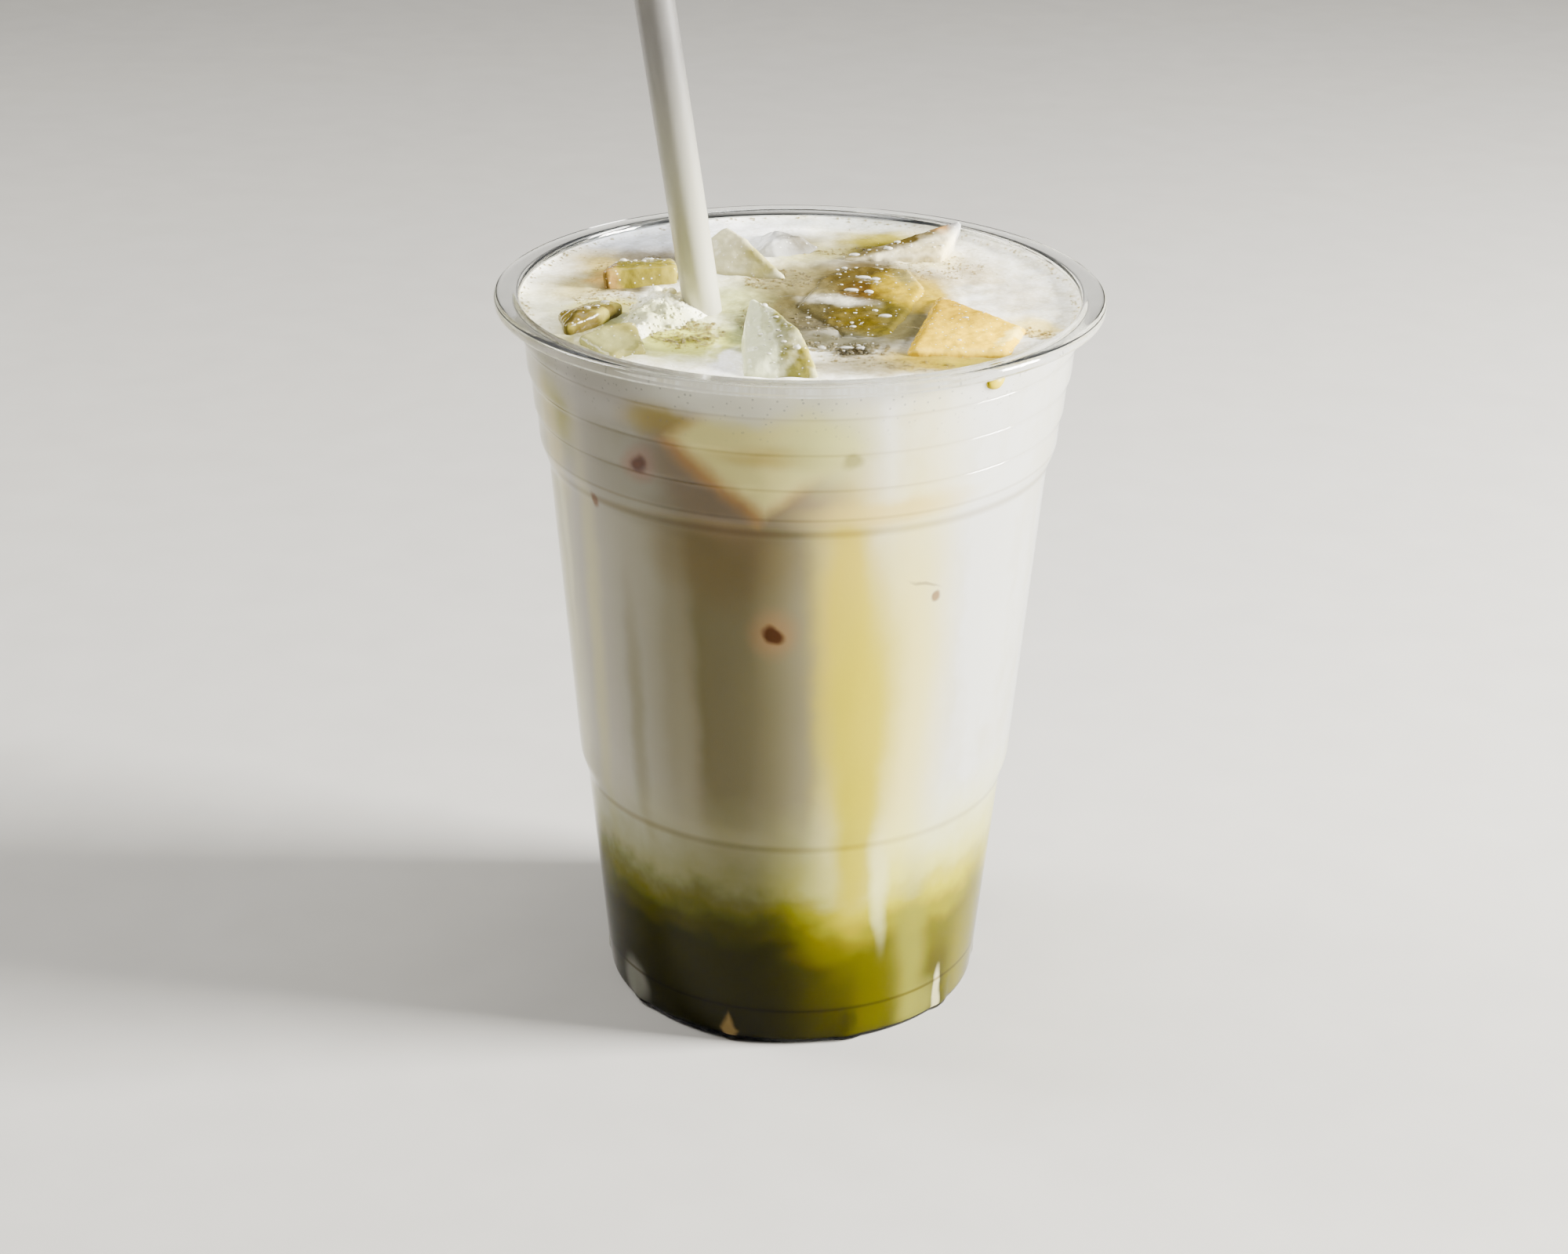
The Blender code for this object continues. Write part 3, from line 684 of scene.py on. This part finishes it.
# colour, share seen into, patches, colour of the haze, strength of the haze
ICE_LOOKS = {
    "ice_right": ("#DDB400", 0.04, (
        ((24.0, -8.0), (6.0, 8.0), 20, 0.6, "#A07E00", 0.85),
        ((28.0, -22.5), (8.0, 5.0), 8, 0.6, "#F0C400", 0.7),
        ((32.4, -21.5), (0.9, 5.0), -22, 0.5, "#F6DC78", 0.85),
        ((19.0, -20.0), (3.2, 9.5), -8, 0.6, "#AE8C00", 0.7),
        ((24.0, -28.8), (9.0, 1.2), 0, 0.5, "#E4C030", 0.6),
    ), "#EAC410", 0.3),
    # the centre piece takes the surface's patches, so it carries their painted sheen and shade too
    "ice_centre": ("#5E5636", 0.2, SURFACE_PATCHES, "#7E7248", 0.3),
    "ice_back_right": ("#D4CAA6", 0.2, (
        ((11.0, 23.0), (5.5, 2.4), 22, 0.5, "#8A7A1E", 0.85),
        ((22.0, 21.5), (5.0, 2.0), 0, 0.6, "#D0C08A", 0.8),
        ((15.5, 24.4), (9.0, 2.3), 27, 0.4, "#463804", 0.97),
        ((24.0, 28.8), (2.4, 1.8), 30, 0.5, "#9C6A1E", 0.85),
        ((26.9, 30.2), (1.4, 3.0), -20, 0.5, "#84888E", 0.85),
    ), "#E4DCC0", 0.3),
    "ice_back_left": ("#C8C49E", 0.25, (
        ((-12.5, 21.0), (3.0, 3.6), 0, 0.6, "#D2CDA6", 0.8),
        ((-8.0, 15.5), (4.0, 5.0), 30, 0.6, "#BDB68E", 0.8),
        ((-5.5, 12.2), (3.4, 3.0), 0, 0.5, "#948C48", 0.9),
        ((-8.4, 17.6), (0.6, 7.0), 38, 0.5, "#6C642C", 0.8),
    ), "#DCD9B8", 0.3),
    "ice_back_dome": ("#9E9D96", 0.15, (
        ((0.4, 28.5), (2.8, 5.0), -10, 0.7, "#544C36", 0.85),
        ((-6.0, 29.0), (1.6, 4.0), 0, 0.6, "#F2F3F3", 0.8),
    ), "#DADAD6", 0.4),
    "ice_front": ("#D4D8AE", 0.15, (
        ((7.9, -34.0), (11.5, 30.0), 8, 0.05, "#6A6628", 0.97),
        ((3.2, -38.5), (1.0, 4.0), 20, 0.5, "#A8A46C", 0.9),
        ((0.6, -37.0), (2.2, 3.4), 20, 0.6, "#857A2C", 0.7),
        ((-5.4, -30.0), (0.5, 9.0), 12, 0.5, "#8E8C58", 0.5),
    ), "#E9ECCC", 0.5),
    "ice_left_ridge": ("#8A8038", 0.2, (
        ((-35.5, -14.5), (3.4, 6.5), -20, 0.3, "#66561A", 0.97),
        ((-34.0, -18.6), (4.0, 1.1), 45, 0.4, "#4A3E18", 0.95),
        ((-29.5, -12.8), (6.0, 0.8), 50, 0.4, "#4A3E18", 0.95),
        ((-31.0, -9.0), (3.5, 3.0), 30, 0.5, "#A09848", 0.8),
    ), "#A8A058", 0.2),
    "ice_left_front": ("#96904E", 0.2, (
        ((-25.8, -23.6), (2.6, 5.0), 0, 0.35, "#7E7634", 0.95),
        ((-24.4, -27.0), (0.6, 5.0), -14, 0.4, "#544E18", 0.9),
        ((-29.8, -27.6), (5.0, 4.0), 0, 0.5, "#A8A668", 0.85),
    ), "#BCBA84", 0.25),
    "ice_left_back": ("#746A20", 0.2, (
        ((-26.0, 11.4), (7.0, 1.6), 8, 0.4, "#81752F", 0.9),
        ((-31.0, 5.0), (1.6, 3.0), 0, 0.5, "#946E3C", 0.8),
        ((-24.5, 4.4), (5.0, 1.6), 17, 0.5, "#665C1A", 0.8),
        ((-21.0, 8.0), (1.6, 3.0), 0, 0.5, "#8A7E2C", 0.8),
    ), "#8E8444", 0.2),
}
for node, (colour, clear, patches, haze, hazy) in ICE_LOOKS.items():
    melted(node).data.materials.append(
        ice_material("frozen_water_" + node[4:], colour, clear, patches, haze, hazy)
    )


# Foam: milk froth thrown up round the straw, a heap of bubbles that cling together. Under
# the bubbles is a finer froth, too small to see into.
FOAM_CENTRE = Vector((-21.8, -11.0, 0))
FOAM_REACH = (6.2, 12.5)
FOAM_TURN = -16
FOAM_HEIGHT = 3.2
FOAM_EDGE = 119.9
FOAM_BOTTOM = 116.8
FOAM_FLANK = 2.2
FOAM_RINGS = 46
FOAM_SIDES = 150
FROTH_GRAIN = 2.2
FROTH_DEPTH = 0.38
FOAM_CELL_SPACING = 0.55
FOAM_BUBBLES = 520
SMALLEST_BUBBLE = 0.1
LARGEST_BUBBLE = 0.6
# the large bubbles that show one by one: x, y, radius
LARGE_BUBBLES = ((-26.4, 0.2, 1.1), (-23.0, -2.5, 1.25), (-20.2, -5.0, 0.9), (-18.6, -1.8, 0.7))


def heap_point(share, angle):
    """A point of the foam's heap: share of the way out from its middle, in a direction."""
    uneven = 1.0 + 0.10 * math.sin(3 * angle + 0.8) + 0.06 * math.sin(7 * angle)
    across = share * FOAM_REACH[0] * uneven * math.cos(angle)
    along = share * FOAM_REACH[1] * uneven * math.sin(angle)
    spot = Matrix.Rotation(math.radians(FOAM_TURN), 3, "Z") @ Vector((across, along, 0))
    bump = 0.45 * math.sin(1.3 * spot.x) * math.sin(1.1 * spot.y)
    height = FOAM_EDGE + (FOAM_HEIGHT + bump) * (1 - share**FOAM_FLANK)
    froth = noise.fractal(Vector((spot.x, spot.y, 7.0)) / FROTH_GRAIN, 0.7, 2.2, 3)
    return FOAM_CENTRE + spot + Vector((0, 0, height + froth * FROTH_DEPTH * (1 - share**6)))


def round_ball(subdivisions):
    """The points and faces of a ball of radius 1."""
    ball = bmesh.new()
    bmesh.ops.create_icosphere(ball, subdivisions=subdivisions, radius=1.0)
    points = [vertex.co.copy() for vertex in ball.verts]
    faces = [[vertex.index for vertex in face.verts] for face in ball.faces]
    ball.free()
    return points, faces


BALLS = {subdivisions: round_ball(subdivisions) for subdivisions in (1, 2, 3)}


def add_oval(points, faces, centre, half, subdivisions):
    """Adds a bubble or a drop, half as long, wide and high as it is, to a mesh's points and faces."""
    ball_points, ball_faces = BALLS[subdivisions]
    first = len(points)
    points.extend((centre + point * half) * MM for point in ball_points)
    faces.extend([first + index for index in face] for face in ball_faces)


def add_ball(points, faces, centre, radius):
    """Adds a round bubble, finer when it is large."""
    subdivisions = 3 if radius > 0.55 else 2 if radius > 0.2 else 1
    add_oval(points, faces, centre, Vector((radius, radius, radius)), subdivisions)


draw = random.Random(17)
heap_points = [heap_point(0, 0) * MM]
heap_faces = []
foam_rings = [[0] * FOAM_SIDES]
for ring in range(1, FOAM_RINGS + 1):
    foam_rings.append(range(len(heap_points), len(heap_points) + FOAM_SIDES))
    for side in range(FOAM_SIDES):
        heap_points.append(heap_point(ring / FOAM_RINGS, 2 * math.pi * side / FOAM_SIDES) * MM)
foam_rings.append(range(len(heap_points), len(heap_points) + FOAM_SIDES))
heap_points += [
    Vector((point.x, point.y, FOAM_BOTTOM * MM)) for point in heap_points[-FOAM_SIDES:]
]
for inner, outer in zip(foam_rings, foam_rings[1:]):
    for side in range(FOAM_SIDES):
        after = (side + 1) % FOAM_SIDES
        heap_faces.append(list(dict.fromkeys((inner[side], outer[side], outer[after], inner[after]))))
heap_faces.append(list(reversed(foam_rings[-1])))
for _ in range(FOAM_BUBBLES):
    share = math.sqrt(draw.random()) * 0.97
    radius = SMALLEST_BUBBLE + (LARGEST_BUBBLE - SMALLEST_BUBBLE) * draw.random() ** 6
    spot = heap_point(share, draw.uniform(0, 2 * math.pi))
    spot.z -= radius * draw.uniform(0.2, 0.7)
    add_ball(heap_points, heap_faces, spot, radius)
for x, y, radius in LARGE_BUBBLES:
    away = Vector((x, y, 0)) - FOAM_CENTRE
    away = Matrix.Rotation(math.radians(-FOAM_TURN), 3, "Z") @ away
    out = Vector((away.x / FOAM_REACH[0], away.y / FOAM_REACH[1]))
    spot = heap_point(min(out.length, 0.97), math.atan2(out.y, out.x))
    add_ball(heap_points, heap_faces, spot + Vector((0, 0, radius * 0.1)), radius)
foam_mesh = bpy.data.meshes.new("foam_heap")
foam_mesh.from_pydata(heap_points, [], heap_faces)
foam = finished("foam_heap", foam_mesh)
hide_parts("foam")


def froth_material(name, colour, deep, patches=()):
    """Milk froth: pale walls of bubbles, a little darker in the cells and the hollows."""
    material = new_material(name, IOR=1.34, Roughness=0.22)
    place = add(material, "TexCoord", output=3)
    mm = add(material, "VectorMath", {0: place, "Scale": 1 / MM}, operation="SCALE")
    cells = add(material, "TexVoronoi", {"Vector": mm, "Scale": 1 / FOAM_CELL_SPACING})
    cells = add(material, "MapRange", {"Value": cells, 1: 0.15, 2: 0.55, 3: 0.75, 4: 0.0})
    paint = painted(material, linear(colour), mm, patches)
    paint = add(material, "Mix", {0: cells, 6: paint, 7: linear(deep)}, 2, data_type="RGBA")
    link(material, "Base Color", paint)
    return material


foam.data.materials.append(froth_material("milk_froth", "#F0EFDC", "#BDBA8A", (
    ((-19.5, -4.0), (3.2, 6.0), 0, 0.6, "#C0B25C", 0.75),
    ((-28.0, -10.0), (2.6, 6.0), 0, 0.6, "#B4AE74", 0.7),
    ((-22.0, -15.5), (8.0, 4.5), 0, 0.7, "#9A9C64", 0.8),
    ((-19.0, -21.0), (4.0, 2.5), 0, 0.5, "#A09C50", 0.8),
)))


# Loose bubbles: the froth that drifts on the drink, in rafts and in a ring along the wall.
# Each is a thin film of milky drink, so it is glassy and takes the colour under it.
# centre, reach, turn, number, smallest and largest radius
RAFTS = (
    ((-17.5, -20.0), (6.0, 6.5), 10, 420, 0.14, 0.6),
    ((7.0, -26.0), (8.5, 3.2), -8, 260, 0.12, 0.5),
    ((15.0, -33.0), (13.0, 2.6), -14, 240, 0.1, 0.36),
    ((-3.5, 9.0), (6.0, 5.5), 20, 330, 0.12, 0.45),
    ((-5.5, -15.0), (4.0, 9.0), 15, 300, 0.12, 0.42),
    ((9.0, 25.5), (9.5, 2.0), 4, 160, 0.12, 0.45),
    ((37.0, -18.0), (2.4, 3.6), 30, 110, 0.14, 0.42),
    ((22.5, 17.0), (8.5, 7.5), 20, 420, 0.09, 0.3),
    ((-31.0, -2.5), (5.5, 5.0), 0, 240, 0.1, 0.34),
    ((-26.0, 17.0), (9.0, 3.0), 20, 200, 0.1, 0.36),
    ((3.0, -14.0), (3.5, 8.0), 20, 160, 0.12, 0.4),
    ((0.0, 0.0), (43.0, 43.0), 0, 700, 0.07, 0.2),
)
# the ring of bubbles along the wall
RING_BUBBLES = 420
RING_INSET = 0.5
RING_WIDTH = 1.3
RING_SIZES = (0.09, 0.3)
WALL_GAP = 0.2
raft_points = []
raft_faces = []
bubble_spots = []
for (x, y), (across, along), turn, number, smallest, largest in RAFTS:
    tilt = Matrix.Rotation(math.radians(turn), 3, "Z")
    for _ in range(number):
        share = math.sqrt(draw.random())
        angle = draw.uniform(0, 2 * math.pi)
        spot = Vector((x, y, 0)) + tilt @ Vector((
            across * share * math.cos(angle), along * share * math.sin(angle), 0
        ))
        bubble_spots.append((spot, smallest + (largest - smallest) * draw.random() ** 3))
for _ in range(RING_BUBBLES):
    angle = draw.uniform(0, 2 * math.pi)
    reach = DRINK_RIM - RING_INSET - RING_WIDTH * draw.random() ** 2
    spot = Vector((reach * math.sin(angle), -reach * math.cos(angle), 0))
    bubble_spots.append((spot, draw.uniform(*RING_SIZES)))
for spot, radius in bubble_spots:
    if spot.length < DRINK_RIM - WALL_GAP:
        spot.z = DRINK_LEVEL
        spot.z += surface_relief(spot) - radius * draw.uniform(0.1, 0.6)
        add_ball(raft_points, raft_faces, spot, radius)
raft_mesh = bpy.data.meshes.new("bubble_rafts")
raft_mesh.from_pydata(raft_points, [], raft_faces)
bubbles = finished("bubble_rafts", raft_mesh)
film = new_material("bubble_film", Base_Color=linear("#EADFB8"), IOR=1.2, Roughness=0.04)
film.node_tree.nodes["Principled BSDF"].inputs["Transmission Weight"].default_value = 0.95
bubbles.data.materials.append(film)


# Melt water: drops and a wet film's beads on the ice and the golden part of the drink. Each
# lies flat where it rests, and glints in the softboxes.
DROP_SHAPE = Vector((1.5, 1.0, 0.55))
SMALLEST_DROP = 0.14
LARGEST_DROP = 0.44
GLINT_WIDTH = 0.5
GLINT_HEIGHT = 0.34
# centre, reach, number
DAMP = (
    ((10.5, 10.0), (5.5, 9.0), 13),
    ((8.0, -12.0), (7.0, 6.0), 9),
    ((-4.0, -33.5), (3.2, 5.0), 18),
    ((15.0, 22.5), (9.0, 2.0), 12),
    ((-31.0, -12.0), (4.5, 5.0), 10),
    ((-26.0, 10.5), (6.0, 2.0), 8),
    ((26.0, -16.0), (6.5, 8.5), 5),
    ((6.5, -25.0), (7.0, 3.0), 18),
)
# the large glints that show one by one: x, y, half length
GLINTS = (
    (10.2, 9.6, 1.3), (12.2, 8.8, 0.9), (8.2, 2.2, 1.2), (11.0, 1.6, 0.8), (13.4, -10.6, 1.1),
    (-25.0, 12.2, 1.0), (-29.0, 11.0, 0.6), (-30.6, -10.2, 0.8), (14.6, 22.4, 0.8), (9.0, 21.2, 1.0),
    (-0.4, -36.6, 0.6), (-5.4, -27.6, 0.5), (7.2, -25.2, 1.3),
)
ICE_AND_DRINK = [bpy.data.objects["melted_" + node] for node in ICE_LOOKS] + [milk]


def top_of_drink(x, y):
    """The uppermost point of the ice and the drink at a place."""
    start = Vector((x, y, CUP_TOP + 20)) * MM
    found = [piece.ray_cast(start, Vector((0, 0, -1))) for piece in ICE_AND_DRINK]
    return Vector((x, y, max(place.z for seen, place, _, _ in found if seen) / MM))


damp_points = []
damp_faces = []
for (x, y), (across, along), number in DAMP:
    for _ in range(number):
        share = math.sqrt(draw.random())
        angle = draw.uniform(0, 2 * math.pi)
        spot = top_of_drink(x + across * share * math.cos(angle), y + along * share * math.sin(angle))
        radius = SMALLEST_DROP + (LARGEST_DROP - SMALLEST_DROP) * draw.random() ** 3
        add_oval(damp_points, damp_faces, spot, DROP_SHAPE * radius, 2)
for x, y, reach in GLINTS:
    half = Vector((reach, GLINT_WIDTH, GLINT_HEIGHT))
    add_oval(damp_points, damp_faces, top_of_drink(x, y), half, 3)
damp_mesh = bpy.data.meshes.new("melt_water_drops")
damp_mesh.from_pydata(damp_points, [], damp_faces)
damp = finished("melt_water_drops", damp_mesh)
water = new_material("melt_water", Base_Color=linear("#FFFDF0"), IOR=1.33, Roughness=0.02)
water.node_tree.nodes["Principled BSDF"].inputs["Transmission Weight"].default_value = 0.6
damp.data.materials.append(water)


# Straw: a drawn polypropylene tube, milky and smooth, standing in the drink and leaning
# a little to the left and more towards the viewer.
STRAW_RADIUS = 3.0
STRAW_WALL = 0.35
STRAW_LENGTH = 210.0
STRAW_AT_SURFACE = Vector((-15.4, -7.2, DRINK_LEVEL))
STRAW_SLOPE = Vector((-0.126, -0.30, 1.0))
STRAW_LOW_END = 9.6
STRAW_SIDES = 72
STRAW_RINGS = 60
STRAW_EDGE = 0.08
STRAW_CORNER = 40
PAINTED_REFLECTION_FROM = 165.0
PAINTED_REFLECTION_TO = 128.0

straw_foot = STRAW_AT_SURFACE + STRAW_SLOPE * (STRAW_LOW_END - STRAW_AT_SURFACE.z)
lean = Matrix.Translation(straw_foot) @ STRAW_SLOPE.to_track_quat("Z", "Y").to_matrix().to_4x4()
straw_section = [(STRAW_RADIUS - STRAW_EDGE, 0.0)]
straw_section += [
    (STRAW_RADIUS, STRAW_EDGE + (STRAW_LENGTH - 2 * STRAW_EDGE) * ring / STRAW_RINGS)
    for ring in range(STRAW_RINGS + 1)
]
straw_section.append((STRAW_RADIUS - STRAW_EDGE, STRAW_LENGTH))
inner_radius = STRAW_RADIUS - STRAW_WALL
straw_section.append((inner_radius + STRAW_EDGE, STRAW_LENGTH))
straw_section.append((inner_radius, STRAW_LENGTH - STRAW_EDGE))
straw_section.append((inner_radius, STRAW_EDGE))
straw_section.append((inner_radius + STRAW_EDGE, 0.0))
straw_points = []
straw_faces = []
for radius, height in straw_section:
    for side in range(STRAW_SIDES):
        turn = 2 * math.pi * side / STRAW_SIDES
        spot = Vector((radius * math.cos(turn), radius * math.sin(turn), height))
        straw_points.append(lean @ spot * MM)
for ring in range(len(straw_section)):
    after_ring = (ring + 1) % len(straw_section)
    for side in range(STRAW_SIDES):
        after = (side + 1) % STRAW_SIDES
        straw_faces.append((
            ring * STRAW_SIDES + side,
            ring * STRAW_SIDES + after,
            after_ring * STRAW_SIDES + after,
            after_ring * STRAW_SIDES + side,
        ))
straw_mesh = bpy.data.meshes.new("drinking_straw")
straw_mesh.from_pydata(straw_points, [], straw_faces)
straw = finished("drinking_straw", straw_mesh, STRAW_CORNER)
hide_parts("straw")

# Drawn polypropylene is milky. Its lower part, near the drink, is painted creamier and less clear: a
# painted reflection of the lit drink below it.
tube = new_material("drawn_milky_polypropylene", Roughness=0.28, IOR=1.49)
tube.node_tree.nodes["Principled BSDF"].inputs["Sheen Weight"].default_value = 0.08
tube.node_tree.nodes["Principled BSDF"].inputs["Sheen Roughness"].default_value = 0.3
place = add(tube, "TexCoord", output=3)
height = add(tube, "SeparateXYZ", {0: place}, 2)
painted_drink_reflection = add(tube, "MapRange", {
    "Value": height, 1: PAINTED_REFLECTION_FROM * MM, 2: PAINTED_REFLECTION_TO * MM, 3: 0.0, 4: 1.0,
})
streaks = add(tube, "Mapping", {"Vector": place, "Scale": (1.0, 1.0, 0.06)})
streaks = add(tube, "TexNoise", {"Vector": streaks, "Scale": 700.0, "Detail": 2.0})
milky = add(tube, "Mix", {
    0: streaks, 6: linear("#9A9894"), 7: linear("#ACAAA6"),
}, 2, data_type="RGBA")
link(tube, "Base Color", add(tube, "Mix", {
    0: painted_drink_reflection, 6: milky, 7: linear("#CDCBB6"),
}, 2, data_type="RGBA"))
link(tube, "Transmission Weight", add(tube, "MapRange", {
    "Value": painted_drink_reflection, 1: 0.0, 2: 1.0, 3: 0.9, 4: 0.62,
}))
straw.data.materials.append(tube)


# Drop: a drop of thin matcha that ran over the rim and hangs on the outside of the wall. It
# is round on one side and draws out to a thin tail on the other.
DROP_ANGLE = 40.9
DROP_HEIGHT = 118.1
DROP_RADIUS = 45.15
DROP_HALF = Vector((1.9, 0.9, 1.15))
drop_bm = bmesh.new()
bmesh.ops.create_icosphere(drop_bm, subdivisions=4, radius=1.0)
for vertex in drop_bm.verts:
    x, y, z = vertex.co
    tail = max(0.0, x) ** 2
    z = z * (1 - 0.55 * tail) + 0.45 * tail
    vertex.co = Vector((x * DROP_HALF.x, y * DROP_HALF.y * (1 - 0.3 * tail), z * DROP_HALF.z))
drop_bm.transform(
    Matrix.Scale(MM, 4)
    @ Matrix.Rotation(math.radians(DROP_ANGLE), 4, "Z")
    @ Matrix.Translation((0, -DROP_RADIUS, DROP_HEIGHT))
)
drop_mesh = bpy.data.meshes.new("matcha_drop")
drop_bm.to_mesh(drop_mesh)
drop_bm.free()
drop = finished("matcha_drop", drop_mesh)
# Thin matcha lets light through, so a drop of it is bright and yellow.
drop.data.materials.append(new_material(
    "thin_matcha", Base_Color=linear("#948400"), Roughness=0.3, Specular_IOR_Level=0.05
))
